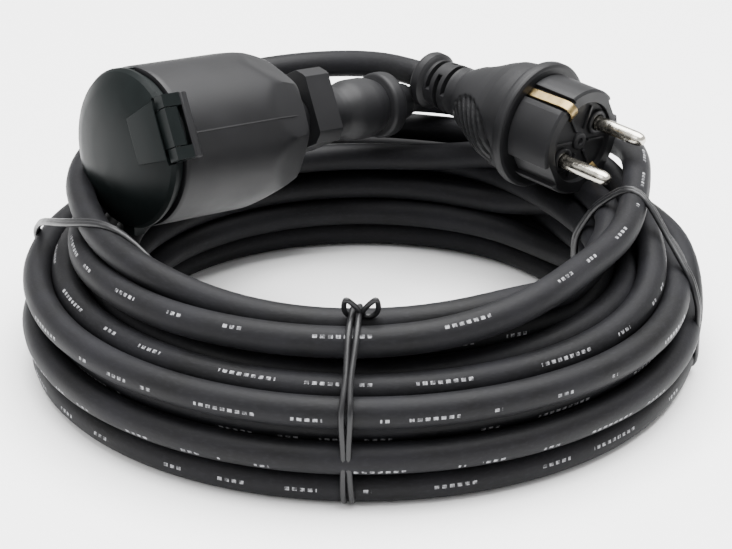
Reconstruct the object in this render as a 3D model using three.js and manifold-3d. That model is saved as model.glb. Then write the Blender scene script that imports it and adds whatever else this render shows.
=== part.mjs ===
// Rubber extension cord, coiled and tied for storage: an earthed two-pin plug on one end and an
// earthed coupler with a hinged, self-closing lid on the other.
// Millimetres, +Z up. The coil lies on the floor round the origin.
import * as THREE from "three";
import { mergeVertices } from "three/addons/utils/BufferGeometryUtils.js";
import Module from "manifold-3d";

const wasm = await Module();
wasm.setup();

// ---- driving dimensions ----
const GAP = 0.3;                 // air between neighbours
const CORD_RADIUS = 4.75;        // three-core rubber cable, 9.5 mm
const CORE_RADIUS = 1.35;        // one insulated core
const CORE_OFFSET = 2;           // core centre from the cable's axis

// the coil: bore, widest radius and height of the bundle of turns
const COIL_BORE = 75.5;
const COIL_RADIUS = 111.3;
const COIL_HEIGHT = 49;
const TIE_THICK = 1.8;
const TIE_WIDTH = 4.4;
const TIE_ANGLES = { tie_front: -92, tie_left: -150, tie_right: -5 };

// coupler: a frame at the middle of its mouth, +X running back along its axis, +Z to the hinge
const COUPLER_PLACE = new THREE.Vector3(-72.3, 1.3, 69.3);
const COUPLER_ROLL = 60;
const COUPLER_PITCH = 6.25;
const COUPLER_YAW = 42;
const BARREL_RADIUS = 26;
const BARREL_LENGTH = 39;        // straight part, mouth to shoulder
const SHOULDER_LENGTH = 16;
const SHOULDER_RADIUS = 20;      // across the flats of the eight-sided shoulder, halved
const BARREL_WALL = 2.4;
const CARRIER_LENGTH = 31;
const SOCKET_RADIUS = 19.6;
const SOCKET_DEPTH = 17.5;
const FRAME_HEIGHT = 2.6;        // lid frame, in front of the mouth
const LID_HEIGHT = 9.6;
const LID_WALL = 1.7;
const LID_OPEN = 110;            // degrees from shut
const HINGE_WIDTH = 21;
const KNUCKLE_WIDTH = 12.4;
const HINGE_PIN_RADIUS = 1.1;
const NECK_RADIUS = 8.2;
const CLAMP_LENGTH = 10.5;
const CLAMP_WIDTH = 23;
const CLAMP_HEIGHT = 26;
const CLAMP_LIFT = 2.4;          // the clamp block stands off the axis, towards +Y
const SLEEVE_LENGTH = 40.7;
const SLEEVE_RING_RADIUS = 11.6;

// plug: a frame at the middle of its front face, +X running back to the cable, +Y along the pins
const PLUG_PLACE = new THREE.Vector3(73.7, 27.5, 60.5);
const PLUG_ROLL = 150;
const PLUG_PITCH = -3.95;
const PLUG_YAW = 134.7;
const PIN_RADIUS = 2.4;
const PIN_SPACING = 19;
const PIN_LENGTH = 19;           // ahead of the front face
const NOSE_RADIUS = 18.5;
const NOSE_LENGTH = 17.2;
const FACE_RECESS = 2;
const FLANGE_RADIUS = 22;
const FLANGE_THICK = 4.5;
const HANDLE_LENGTH = 50;        // flange to the end of the bend relief
const HANDLE_BORE = 13;

// loose leads: hand-laid points from each strain relief to where the lead joins the coil
const PLUG_LEAD = [[10.5, 91, 65.6], [-3, 98.5, 64], [-25, 101, 62], [-52, 91, 60], [-76, 68, 57.5],
  [-89, 40, 55], [-93.2, 19, 52.5]];
const COUPLER_LEAD = [[30, 94, 51], [46, 99, 47.5], [64, 92, 46], [80, 76, 47], [90, 56, 49.5],
  [92, 38, 52], [91, 18, 52.5]];

const RUBBER = { color: 0x1d1d1f, roughness: 0.62, metalness: 0 };
const HARD_BLACK = { color: 0x17171a, roughness: 0.45, metalness: 0 };
const CABLE = { color: 0x222225, roughness: 0.55, metalness: 0 };
const NICKEL = { color: 0xc9c7c0, roughness: 0.25, metalness: 1 };
const BRASS = { color: 0xc0a05a, roughness: 0.35, metalness: 1 };
const STEEL = { color: 0xb0b2b4, roughness: 0.35, metalness: 1 };
const SEAL = { color: 0x2b2b2d, roughness: 0.8, metalness: 0 };

// ---- shapes ----
const radians = THREE.MathUtils.degToRad;

// A closed mesh as a solid: shared corners merged, collapsed triangles dropped.
function solid(geometry) {
  geometry.deleteAttribute("normal");
  geometry.deleteAttribute("uv");
  const merged = mergeVertices(geometry, 1e-4);
  const index = merged.index.array;
  const kept = [];
  for (let i = 0; i < index.length; i += 3) {
    const [a, b, c] = [index[i], index[i + 1], index[i + 2]];
    if (a !== b && b !== c && c !== a) kept.push(a, b, c);
  }
  return new wasm.Manifold(new wasm.Mesh({
    numProp: 3,
    vertProperties: new Float32Array(merged.attributes.position.array),
    triVerts: new Uint32Array(kept),
  }));
}

// Points wound anticlockwise, as lathes and extrusions want them.
function anticlockwise(points) {
  return THREE.ShapeUtils.area(points) < 0 ? points.slice().reverse() : points;
}

// A turned piece: [along, radius] points closed on themselves, spun round +X.
function turned(profile, sides = 32) {
  const points = anticlockwise(profile.map(([along, radius]) => new THREE.Vector2(radius, along)));
  points.push(points[0].clone());
  return solid(new THREE.LatheGeometry(points, sides).rotateZ(-Math.PI / 2));
}

// A round bar along X from start to end.
function bar(radius, start, end, y = 0, z = 0, sides = 20) {
  const profile = [[start, 0], [start, radius], [end, radius], [end, 0]];
  return turned(profile, sides).translate([0, y, z]);
}

// The same bar lying along Z, through (x, y).
function crossBar(radius, start, end, x, y, sides = 16) {
  return bar(radius, start, end, 0, 0, sides).rotate([0, -90, 0]).translate([x, y, 0]);
}

function block(x0, x1, y0, y1, z0, z1) {
  const box = new THREE.BoxGeometry(x1 - x0, y1 - y0, z1 - z0);
  return solid(box.translate((x0 + x1) / 2, (y0 + y1) / 2, (z0 + z1) / 2));
}

// A flat outline of [x, z] points, thickened along Y about y = 0.
function plate(outline, width) {
  const shape = new THREE.Shape(anticlockwise(outline.map(([x, z]) => new THREE.Vector2(x, z))));
  const body = new THREE.ExtrudeGeometry(shape, { depth: width, bevelEnabled: false });
  return solid(body.translate(0, 0, -width / 2).rotateX(Math.PI / 2));
}

// A wedge of a ring round X, from angle a0 to a1 measured from +Z towards -Y.
function sector(inner, outer, a0, a1, x0, x1) {
  const shape = new THREE.Shape();
  shape.absarc(0, 0, outer, radians(a0), radians(a1), false);
  shape.absarc(0, 0, inner, radians(a1), radians(a0), true);
  const body = new THREE.ExtrudeGeometry(shape, { depth: x1 - x0, bevelEnabled: false, curveSegments: 16 });
  return solid(body).rotate([0, 90, 0]).rotate([180, 0, 0]).translate([x0, 0, 0]);
}

// Every outline edge moved out by a distance (the outline is convex and anticlockwise).
function grown(outline, distance) {
  const count = outline.length;
  const edges = outline.map(([x0, y0], i) => {
    const [x1, y1] = outline[(i + 1) % count];
    const length = Math.hypot(x1 - x0, y1 - y0);
    const normal = [(y1 - y0) / length, (x0 - x1) / length];
    return { normal, reach: normal[0] * x0 + normal[1] * y0 + distance };
  });
  return edges.map((edge, i) => {
    const next = edges[(i + 1) % count];
    const cross = edge.normal[0] * next.normal[1] - edge.normal[1] * next.normal[0];
    return [(edge.reach * next.normal[1] - edge.normal[1] * next.reach) / cross,
      (edge.normal[0] * next.reach - edge.reach * next.normal[0]) / cross];
  });
}

// A round tube of a few sides along a smooth curve through the points.
function tube(points, radius, sides, step) {
  const path = new THREE.CatmullRomCurve3(points, false, "centripetal");
  const shape = new THREE.Shape();
  for (let i = 0; i < sides; i++) {
    const angle = (2 * Math.PI * i) / sides;
    const [x, y] = [radius * Math.cos(angle), radius * Math.sin(angle)];
    if (i === 0) shape.moveTo(x, y);
    else shape.lineTo(x, y);
  }
  const steps = Math.max(2, Math.round(path.getLength() / step));
  return new THREE.ExtrudeGeometry(shape, { steps, extrudePath: path });
}

const at = (x, y, z) => new THREE.Vector3(x, y, z);
const lead = (points, radius = CORD_RADIUS) => solid(tube(points, radius, 12, 2 * CORD_RADIUS));
const core = (points) => solid(tube(points, CORE_RADIUS, 8, 3));

function piece(name, body, finish) {
  let geometry = body;
  if (body instanceof wasm.Manifold) {
    const { vertProperties, triVerts } = body.getMesh();
    geometry = new THREE.BufferGeometry();
    geometry.setAttribute("position", new THREE.BufferAttribute(vertProperties, 3));
    geometry.setIndex(new THREE.BufferAttribute(triVerts, 1));
    geometry.computeVertexNormals();
  }
  const mesh = new THREE.Mesh(geometry, new THREE.MeshStandardMaterial(finish));
  mesh.name = name;
  return mesh;
}

// A group placed by its point and its roll, pitch and yaw in degrees.
function frameAt(place, roll, pitch, yaw) {
  const group = new THREE.Group();
  group.position.copy(place);
  group.rotation.set(radians(roll), radians(pitch), radians(yaw), "ZYX");
  group.updateMatrixWorld(true);
  return group;
}

// ---- coupler ----
const CARRIER_START = 1.5;
const CARRIER_END = CARRIER_START + CARRIER_LENGTH;
const SOCKET_FLOOR = CARRIER_START + SOCKET_DEPTH;
const SHOULDER_END = BARREL_LENGTH + SHOULDER_LENGTH;
const BARREL_BORE = BARREL_RADIUS - BARREL_WALL;
const CAVITY_RADIUS = BARREL_BORE - 4;
const CAVITY_END = SHOULDER_END - 4;
const CABLE_HOLE = CORD_RADIUS + GAP;
const CLAMP_START = SHOULDER_END + 11.5;
const CLAMP_END = CLAMP_START + CLAMP_LENGTH;
const SLEEVE_START = CLAMP_END + GAP;
const SLEEVE_END = SLEEVE_START + SLEEVE_LENGTH;
const HINGE_X = -3.4;
const HINGE_Z = BARREL_RADIUS - 0.4;
const HINGE_FRONT = -6.6;
const HINGE_TOP = HINGE_Z + 2.8;
const FRAME_RADIUS = BARREL_RADIUS - 1.6;
const PIN_Y = PIN_SPACING / 2;
const TERMINAL_START = CARRIER_END - 1.5;
const TERMINAL_END = TERMINAL_START + 8;
const TERMINAL_HALF = 3.4;
const EARTH_Z = SOCKET_RADIUS - 1.6;
const BRIDGE_X = CARRIER_END + 1.2;
const STRIP_THICK = 0.8;

function couplerBody() {
  const rear = SHOULDER_RADIUS + 0.5;
  const shell = turned([[0, BARREL_BORE], [0, BARREL_RADIUS - 0.8], [0.8, BARREL_RADIUS],
    [BARREL_LENGTH + 2, BARREL_RADIUS], [BARREL_LENGTH + 10, BARREL_RADIUS - 1.2], [SHOULDER_END, rear + 1.2],
    [SHOULDER_END, rear - 1], [SHOULDER_END + 3, NECK_RADIUS + 3], [SHOULDER_END + 5, NECK_RADIUS],
    [CLAMP_END - GAP, NECK_RADIUS], [CLAMP_END - GAP, CABLE_HOLE], [SHOULDER_END - 1, CABLE_HOLE],
    [CAVITY_END, CABLE_HOLE + 4], [CAVITY_END - 6, CAVITY_RADIUS - 4], [CAVITY_END - 10, CAVITY_RADIUS],
    [CARRIER_END + GAP, CAVITY_RADIUS], [CARRIER_END + GAP, BARREL_BORE]], 48);
  const flats = 1 / Math.cos(Math.PI / 8);
  const facetStart = BARREL_LENGTH - 2;
  const slope = (BARREL_RADIUS - SHOULDER_RADIUS) / (SHOULDER_END - facetStart);
  const cone = (x) => (BARREL_RADIUS + slope * (facetStart - x)) * flats;
  const hull = turned([[-1, 0], [-1, cone(-1)], [CLAMP_END, cone(CLAMP_END)], [CLAMP_END, 0]], 8)
    .rotate([22.5, 0, 0]);
  const half = HINGE_WIDTH / 2 + 0.4;
  return shell.intersect(hull).subtract(block(-1, 1.8, -half, half, BARREL_BORE - 2, BARREL_RADIUS + 4));
}

function lidFrame() {
  const spigot = BARREL_BORE - GAP;
  const ring = turned([[-GAP, spigot - 1.8], [CARRIER_START - GAP, spigot - 1.8], [CARRIER_START - GAP, spigot],
    [-GAP, spigot], [-GAP, FRAME_RADIUS], [-GAP - FRAME_HEIGHT, FRAME_RADIUS],
    [-GAP - FRAME_HEIGHT, spigot - 1.8]], 48);
  const [inner, outer] = [KNUCKLE_WIDTH / 2 + GAP, HINGE_WIDTH / 2];
  const lugs = [-1, 1].map((side) => {
    const [y0, y1] = side < 0 ? [-outer, -inner] : [inner, outer];
    return block(HINGE_FRONT, 1.5, y0, y1, FRAME_RADIUS - 0.1, HINGE_TOP)
      .add(block(-GAP - FRAME_HEIGHT, -GAP - 0.1, y0, y1, FRAME_RADIUS - 3.2, FRAME_RADIUS));
  });
  const notch = block(-5, CARRIER_START, -inner, inner, FRAME_RADIUS - 2.3, HINGE_TOP);
  const bridge = block(0.8, 1.5, -inner - 0.2, inner + 0.2, FRAME_RADIUS - 0.1, HINGE_TOP);
  return ring.subtract(notch).add(lugs[0]).add(lugs[1]).add(bridge).subtract(hingeBore());
}

function hingeBore() {
  return bar(HINGE_PIN_RADIUS + GAP, -HINGE_WIDTH, HINGE_WIDTH, 0, 0, 16).rotate([0, 0, 90])
    .translate([HINGE_X, 0, HINGE_Z]);
}

const THUMB_ANGLE = 112;
function thumbTab(room) {
  const top = BARREL_RADIUS + 2.2 + room;
  return block(-4.6 - room, -0.6 + room, -3 - room, 3 + room, BARREL_RADIUS - 1, top).rotate([THUMB_ANGLE, 0, 0]);
}

function lid() {
  const skirt = BARREL_RADIUS - 0.1;
  const inside = FRAME_RADIUS + GAP;
  const top = -LID_HEIGHT;
  const shell = turned([[-GAP, inside], [-GAP, skirt], [top + 5.6, skirt], [top + 4.2, skirt - 1],
    [top + 2.1, 20], [top + 0.6, 11.5], [top, 0], [top + LID_WALL, 0], [top + LID_WALL + 0.7, 10],
    [top + LID_WALL + 2.2, 17], [-4.6, 19.6], [-4.6, inside - 0.8], [-3.8, inside]], 48);
  const half = HINGE_WIDTH / 2 + GAP + 0.1;
  const opening = block(top - 1, 1, -half, half, BARREL_RADIUS - 4.4, BARREL_RADIUS + 3);
  const finger = sector(FRAME_RADIUS + 0.1, BARREL_RADIUS + 2, 20, 104, -2.9, 1)
    .add(sector(FRAME_RADIUS + 0.1, BARREL_RADIUS + 2, -66, -20, -2.9, 1));
  const knuckleRound = bar(3.1, -HINGE_WIDTH, HINGE_WIDTH, 0, 0, 24).rotate([0, 0, 90])
    .translate([HINGE_X, 0, HINGE_Z]).add(block(top, HINGE_X, -HINGE_WIDTH, HINGE_WIDTH, 0, HINGE_TOP + 1));
  const side = KNUCKLE_WIDTH / 2;
  const knuckle = block(HINGE_FRONT, -4.6, -side, side, BARREL_RADIUS - 4.5, HINGE_TOP)
    .add(block(HINGE_FRONT, -3.3, -side, side, BARREL_RADIUS - 2, HINGE_TOP))
    .add(block(HINGE_FRONT, -GAP - 0.1, -side, side, FRAME_RADIUS + 0.4, HINGE_TOP))
    .intersect(knuckleRound);
  return shell.subtract(opening).subtract(finger).add(thumbTab(0))
    .add(knuckle.subtract(hingeBore()).subtract(springRoom()));
}

// Pocket in the knuckle that holds the lid spring round the pin.
function springRoom() {
  return block(HINGE_X - 2.3, 1, -2.6, 2.6, HINGE_Z - 4, HINGE_Z + 2.2);
}

// The seal ring, narrowed beside the knuckle so that it clears the lugs as the lid swings.
function lidSeal() {
  const face = -GAP - FRAME_HEIGHT - GAP;
  let ring = turned([[-4.3, 20.6], [-4.3, 23.4], [face, 23.4], [face, 20.6]], 40);
  for (const side of [-1, 1]) {
    const [y0, y1] = side < 0 ? [-HINGE_WIDTH / 2 - 0.8, -5.6] : [5.6, HINGE_WIDTH / 2 + 0.8];
    ring = ring.subtract(bar(4.7, y0, y1, 0, 0, 32).rotate([0, 0, 90]).translate([HINGE_X, 0, HINGE_Z]));
  }
  return ring;
}

function lidSpring() {
  const turns = turned([[-2.2, HINGE_PIN_RADIUS + 0.3], [-2.2, HINGE_PIN_RADIUS + 0.9],
    [2.2, HINGE_PIN_RADIUS + 0.9], [2.2, HINGE_PIN_RADIUS + 0.3]], 16).rotate([0, 0, 90]);
  return turns.translate([HINGE_X, 0, HINGE_Z]);
}

function carrier() {
  const outer = BARREL_BORE - GAP;
  let body = turned([[CARRIER_START, SOCKET_RADIUS], [CARRIER_START, outer], [CARRIER_END, outer],
    [CARRIER_END, 0], [SOCKET_FLOOR, 0], [SOCKET_FLOOR, SOCKET_RADIUS]], 40);
  for (const side of [-1, 1]) {
    const [y0, y1] = side < 0 ? [-SOCKET_RADIUS - 1, -16.6] : [16.6, SOCKET_RADIUS + 1];
    body = body.add(block(CARRIER_START + 2, SOCKET_FLOOR + 1, y0, y1, -2.3, 2.3));
    body = body.subtract(bar(PIN_RADIUS + GAP, SOCKET_FLOOR - 1, CARRIER_END + 1, side * PIN_Y));
    body = body.subtract(bar(CONTACT_OUTER + GAP, SOCKET_FLOOR + 2.4, CARRIER_END + 1, side * PIN_Y));
    const half = TERMINAL_HALF + GAP;
    body = body.subtract(block(TERMINAL_START - GAP, CARRIER_END + 1, side * PIN_Y - half,
      side * PIN_Y + half, -half, half));
    const [z0, z1] = side < 0 ? [-EARTH_Z - 1.2, -EARTH_Z + 1.2] : [EARTH_Z - 1.2, EARTH_Z + 1.2];
    body = body.subtract(block(SOCKET_FLOOR - 1, CARRIER_END + 1, -2.6, 2.6, z0, z1));
  }
  return body.subtract(bar(1.9, SOCKET_FLOOR - 1, CARRIER_END + 1))
    .subtract(bar(3.5, SOCKET_FLOOR - 1, SOCKET_FLOOR + 2));
}

const CONTACT_OUTER = 3.5;
function contactSleeve(side) {
  const [y, half] = [side * PIN_Y, TERMINAL_HALF];
  return bar(CONTACT_OUTER, SOCKET_FLOOR + 2.8, TERMINAL_START + 1, y)
    .add(block(TERMINAL_START, TERMINAL_END, y - half, y + half, -half, half))
    .subtract(bar(PIN_RADIUS, SOCKET_FLOOR, TERMINAL_END - 3.5, y))
    .subtract(bar(CORE_RADIUS + GAP, TERMINAL_END - 4, TERMINAL_END + 1, y, 0, 12))
    .subtract(crossBar(1.8, 0.8, half + 1, TERMINAL_END - 2.9, y));
}

function terminalScrew(x, y, top) {
  return crossBar(1.45, top - 2.3, top + GAP + 0.1, x, y, 12)
    .add(crossBar(2.5, top + GAP, top + GAP + 1.7, x, y, 16))
    .subtract(block(x - 3, x + 3, y - 0.35, y + 0.35, top + GAP + 0.9, top + GAP + 2));
}

function earthBracket() {
  const [z, t, x] = [EARTH_Z, STRIP_THICK, BRIDGE_X];
  const strip = plate([[SOCKET_FLOOR - 14, z - 1.9], [SOCKET_FLOOR - 10, z - 0.4 - t], [x, z - t / 2], [x, -z + t / 2],
    [SOCKET_FLOOR - 10, -z + 0.4 + t], [SOCKET_FLOOR - 14, -z + 1.9], [SOCKET_FLOOR - 14, -z + 1.9 - t],
    [SOCKET_FLOOR - 10, -z + 0.4], [x + t, -z - t / 2], [x + t, z + t / 2], [SOCKET_FLOOR - 10, z - 0.4],
    [SOCKET_FLOOR - 14, z - 1.9 + t]], 4.4);
  const end = x + t + 5;
  return strip.add(block(x, end, -3, 3, 3.4, 9)).subtract(bar(1.8, x - 1, end + 1))
    .subtract(crossBar(1.8, 5.4, 10, x + 3.6, 0)).subtract(bar(CORE_RADIUS + GAP, end - 3, end + 1, 0, 5.4, 12));
}

function carrierScrew() {
  return bar(1.5, SOCKET_FLOOR + 1, BRIDGE_X + 4, 0, 0, 16).add(bar(3, SOCKET_FLOOR + 0.4, SOCKET_FLOOR + 1.6))
    .subtract(block(SOCKET_FLOOR, SOCKET_FLOOR + 0.9, -4, 4, -0.4, 0.4));
}

const CLAMP_SCREW_X = CLAMP_START + CLAMP_LENGTH / 2;
const CLAMP_SCREW_Y = CLAMP_LIFT + CLAMP_HEIGHT / 2 - 3.6;
function clampBlock() {
  const [half, middle] = [CLAMP_HEIGHT / 2, CLAMP_LIFT];
  return block(CLAMP_START, CLAMP_END, middle - half, middle + half, -CLAMP_WIDTH / 2, CLAMP_WIDTH / 2)
    .intersect(bar(Math.hypot(half, CLAMP_WIDTH / 2) - 2.2, CLAMP_START, CLAMP_END, middle, 0, 24))
    .subtract(bar(NECK_RADIUS + GAP, CLAMP_START - 1, CLAMP_END + 1, 0, 0, 32))
    .subtract(crossBar(1.8, -8, 8.6, CLAMP_SCREW_X, CLAMP_SCREW_Y))
    .subtract(crossBar(3, -13, -7, CLAMP_SCREW_X, CLAMP_SCREW_Y));
}

function clampScrew() {
  const x = CLAMP_SCREW_X;
  return crossBar(1.5, -8, 8, x, CLAMP_SCREW_Y, 12).add(crossBar(2.6, -9.4, -7.4, x, CLAMP_SCREW_Y))
    .subtract(block(x - 3, x + 3, CLAMP_SCREW_Y - 0.4, CLAMP_SCREW_Y + 0.4, -10, -8.4));
}

function bendSleeve() {
  const [a, b] = [SLEEVE_START, SLEEVE_END];
  return turned([[a, CABLE_HOLE], [a, 9], [a + 3, 8.6], [a + 8, 8.8], [a + 11, 10.2], [a + 14, 10.7],
    [a + 20, 10.7], [a + 25, 9.4], [a + 26, 8.8], [a + 26.6, SLEEVE_RING_RADIUS - 0.6],
    [a + 27.4, SLEEVE_RING_RADIUS], [a + 31, SLEEVE_RING_RADIUS], [a + 32, SLEEVE_RING_RADIUS - 0.8],
    [a + 32.4, 7.4], [b - 0.4, 6.2], [b, 5.8], [b, CABLE_HOLE]], 32);
}

function couplerCores() {
  const [end, gather] = [SHOULDER_END + 1, CAVITY_END - 3];
  const [start, spread] = [TERMINAL_END + GAP, PIN_Y];
  const earthStart = BRIDGE_X + STRIP_THICK + 5 + GAP;
  const run = (x0, y0, z0, angle) => {
    const [y1, z1] = [CORE_OFFSET * Math.sin(radians(angle)), CORE_OFFSET * Math.cos(radians(angle))];
    return [at(x0, y0, z0), at(x0 + 3, y0, z0), at(gather, 1.6 * y1, 1.6 * z1), at(end - 1, y1, z1), at(end, y1, z1)];
  };
  return {
    coupler_core_brown: [run(start, spread, 0, 110), 0x6b3f22],
    coupler_core_blue: [run(start, -spread, 0, 250), 0x2b57a8],
    coupler_core_earth: [run(earthStart, 0, 5.4, 0), 0x9aa528],
  };
}

const coupler = frameAt(COUPLER_PLACE, COUPLER_ROLL, COUPLER_PITCH, COUPLER_YAW);
coupler.add(piece("coupler_body", couplerBody(), RUBBER));
coupler.add(piece("lid_frame", lidFrame(), HARD_BLACK));
coupler.add(piece("coupler_lid", lid(), HARD_BLACK));
coupler.add(piece("lid_seal", lidSeal(), SEAL));
coupler.add(piece("hinge_pin", bar(HINGE_PIN_RADIUS, -HINGE_WIDTH / 2 + 0.3, HINGE_WIDTH / 2 - 0.3, 0, 0, 16)
  .rotate([0, 0, 90]).translate([HINGE_X, 0, HINGE_Z]), STEEL));
coupler.add(piece("lid_spring", lidSpring(), STEEL));
coupler.add(piece("contact_carrier", carrier(), HARD_BLACK));
coupler.add(piece("line_contact", contactSleeve(1), BRASS));
coupler.add(piece("neutral_contact", contactSleeve(-1), BRASS));
coupler.add(piece("earth_bracket", earthBracket(), BRASS));
coupler.add(piece("line_terminal_screw", terminalScrew(TERMINAL_END - 2.9, PIN_Y, TERMINAL_HALF), STEEL));
coupler.add(piece("neutral_terminal_screw", terminalScrew(TERMINAL_END - 2.9, -PIN_Y, TERMINAL_HALF), STEEL));
coupler.add(piece("earth_terminal_screw", terminalScrew(BRIDGE_X + 3.6, 0, 9), STEEL));
coupler.add(piece("carrier_screw", carrierScrew(), STEEL));
coupler.add(piece("clamp_block", clampBlock(), RUBBER));
coupler.add(piece("clamp_screw", clampScrew(), STEEL));
coupler.add(piece("bend_sleeve", bendSleeve(), RUBBER));
coupler.add(piece("coupler_cable_end", bar(CORD_RADIUS, SHOULDER_END + 1 + GAP, SLEEVE_END - GAP, 0, 0, 16), CABLE));
for (const [name, [points, color]] of Object.entries(couplerCores())) {
  coupler.add(piece(name, core(points), { color, roughness: 0.5, metalness: 0 }));
}

// ---- plug ----
const FLANGE_START = NOSE_LENGTH + GAP;
const FLANGE_END = FLANGE_START + FLANGE_THICK;
const PLUG_END = FLANGE_END + HANDLE_LENGTH;
const NOTCH_DEPTH = 2.2;
const EARTH_FLAT = NOSE_RADIUS - 1.9;
const PIN_BACK = FLANGE_END + 7;
const JACKET_START = FLANGE_END + 17;
const JACKET_GAP = 2 * GAP;

function plugNose() {
  let body = turned([[0, 0], [0, NOSE_RADIUS - 0.8], [0.8, NOSE_RADIUS], [NOSE_LENGTH, NOSE_RADIUS],
    [NOSE_LENGTH, 0]], 48);
  const rim = 2.2;
  body = body.subtract(bar(NOSE_RADIUS - NOTCH_DEPTH - rim, -1, FACE_RECESS, 0, 0, 40));
  for (const side of [-1, 1]) {
    const outer = side * (NOSE_RADIUS + 2);
    const notch = side * (NOSE_RADIUS - NOTCH_DEPTH);
    body = body.subtract(block(-1, NOSE_LENGTH + 1, Math.min(outer, notch), Math.max(outer, notch), -4.4, 4.4));
    const flat = side * EARTH_FLAT;
    body = body.subtract(block(-1, NOSE_LENGTH + 1, -2.9, 2.9, Math.min(outer, flat), Math.max(outer, flat)));
    body = body.subtract(bar(PIN_RADIUS + GAP, -1, NOSE_LENGTH + 1, side * PIN_Y));
  }
  return body;
}

function plugBody() {
  const [a, b, r] = [FLANGE_START, PLUG_END, FLANGE_RADIUS];
  const relief = b - 20;
  const outline = [[a, 0], [a, r - 1], [a + 1.2, r], [FLANGE_END - 1.2, r], [FLANGE_END, r - 1.4],
    [FLANGE_END + 0.6, r - 3], [FLANGE_END + 5, r - 3.4], [FLANGE_END + 12, 16.6], [FLANGE_END + 19, 13.4],
    [relief - 2, 9.8], [relief, 8.6], [relief + 2, 9], [b - 5, 8.2], [b - 4.4, 9.8], [b - 1, 9.8],
    [b, 8.8], [b, 0]];
  let body = turned(outline, 48);
  const cavity = turned([[a - 1, 0], [a - 1, HANDLE_BORE], [FLANGE_END + 6, HANDLE_BORE],
    [JACKET_START - 1, 7], [JACKET_START - 1, 0]], 32);
  body = body.subtract(cavity).subtract(bar(CABLE_HOLE, a, b + 1, 0, 0, 24));
  const slot = plate([[a - 1, -EARTH_FLAT - 2], [a + 1.6, -EARTH_FLAT - 2], [a + 1.6, EARTH_FLAT + 2],
    [a - 1, EARTH_FLAT + 2]], 5.4);
  body = body.subtract(slot);
  const reliefTop = relief + 3.4;
  for (let i = 0; i < 3; i++) {
    const x = reliefTop + i * 3.9;
    const groove = turned([[x, 7.1], [x, 11], [x + 1.3, 11], [x + 1.3, 7.1]], 24);
    const window = block(x - 1, x + 3, i % 2 ? -3 : -12, i % 2 ? 3 : 12, i % 2 ? -12 : -3, i % 2 ? 12 : 3);
    body = body.subtract(groove.subtract(window));
  }
  return body;
}

function plugPin(side) {
  const y = side * PIN_Y;
  const tip = -PIN_LENGTH;
  const rod = turned([[tip, 0], [tip, 1.2], [tip + 1.2, 2.1], [tip + 3, PIN_RADIUS], [PIN_BACK, PIN_RADIUS],
    [PIN_BACK, 0]], 20);
  return rod.translate([0, y, 0]).subtract(bar(CORE_RADIUS, PIN_BACK - 4, PIN_BACK + 1, y, 0, 12));
}

function earthStrap() {
  const [z, t] = [EARTH_FLAT + GAP, 1];
  const x = FLANGE_START;
  return plate([[0.4, z], [x + 0.1, z], [x + 0.1, -z], [0.4, -z], [0.4, -z - t], [x + 0.1 + t, -z - t],
    [x + 0.1 + t, z + t], [0.4, z + t]], 4.4)
    .add(block(x + 0.5, PIN_BACK, -1.8, 1.8, -1.8, 1.8))
    .subtract(bar(CORE_RADIUS, PIN_BACK - 3, PIN_BACK + 1, 0, 0, 12));
}

function plugCores() {
  const [start, end] = [PIN_BACK + GAP, JACKET_START];
  const run = (y0, angle) => {
    const [y1, z1] = [CORE_OFFSET * Math.cos(radians(angle)), CORE_OFFSET * Math.sin(radians(angle))];
    return [at(start, y0, 0), at(start + 1.5, y0, 0), at(end - 2.5, 1.3 * y1, 1.2 * z1), at(end, y1, z1)];
  };
  return {
    plug_core_brown: [run(PIN_Y, 30), 0x6b3f22],
    plug_core_blue: [run(-PIN_Y, 150), 0x2b57a8],
    plug_core_earth: [run(0, 270), 0x9aa528],
  };
}

const plug = frameAt(PLUG_PLACE, PLUG_ROLL, PLUG_PITCH, PLUG_YAW);
plug.add(piece("plug_nose", plugNose(), HARD_BLACK));
plug.add(piece("plug_body", plugBody(), RUBBER));
plug.add(piece("line_pin", plugPin(1), NICKEL));
plug.add(piece("neutral_pin", plugPin(-1), NICKEL));
plug.add(piece("earth_strap", earthStrap(), BRASS));
plug.add(piece("plug_cable_end", bar(CORD_RADIUS, JACKET_START + JACKET_GAP, PLUG_END - GAP, 0, 0, 16), CABLE));
for (const [name, [points, color]] of Object.entries(plugCores())) {
  plug.add(piece(name, core(points), { color, roughness: 0.5, metalness: 0 }));
}

// ---- cord: two loose leads and the coil ----
const STRAIGHT = 7;              // run on along a strain relief's axis before a lead bends
const leadOf = (group, end, points) => [end + GAP, end + STRAIGHT]
  .map((x) => group.localToWorld(at(x, 0, 0)))
  .concat(points.map((point) => at(...point)));
const couplerRoute = leadOf(coupler, SLEEVE_END, COUPLER_LEAD);
const plugRoute = leadOf(plug, PLUG_END, PLUG_LEAD);

// The seat that a lead presses into the coil, a little longer than the lead.
function leadSeat(route) {
  const [before, last] = route.slice(-2);
  const beyond = last.clone().sub(before).setLength(2 * GAP).add(last);
  return lead([...route, beyond], CORD_RADIUS + 2 * GAP);
}

const SLOPE_FOOT = 31;
const COIL_SECTION = [[COIL_BORE + 2.5, 0], [COIL_RADIUS - 5.8, 0], [COIL_RADIUS - 1.3, 4], [COIL_RADIUS, 16],
  [COIL_RADIUS - 2.8, SLOPE_FOOT], [COIL_RADIUS - 19, COIL_HEIGHT - 1.2], [COIL_RADIUS - 22, COIL_HEIGHT],
  [COIL_BORE + 3, COIL_HEIGHT], [COIL_BORE, COIL_HEIGHT - 3], [COIL_BORE, 3]];

// A slice of the bundle's section, grown by a distance and kept inside the widest radius and above z.
function slice(distance, width, widest, lowest) {
  return plate(grown(COIL_SECTION, distance), width)
    .intersect(block(0, widest, -width, width, lowest, COIL_HEIGHT + 20));
}

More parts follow.
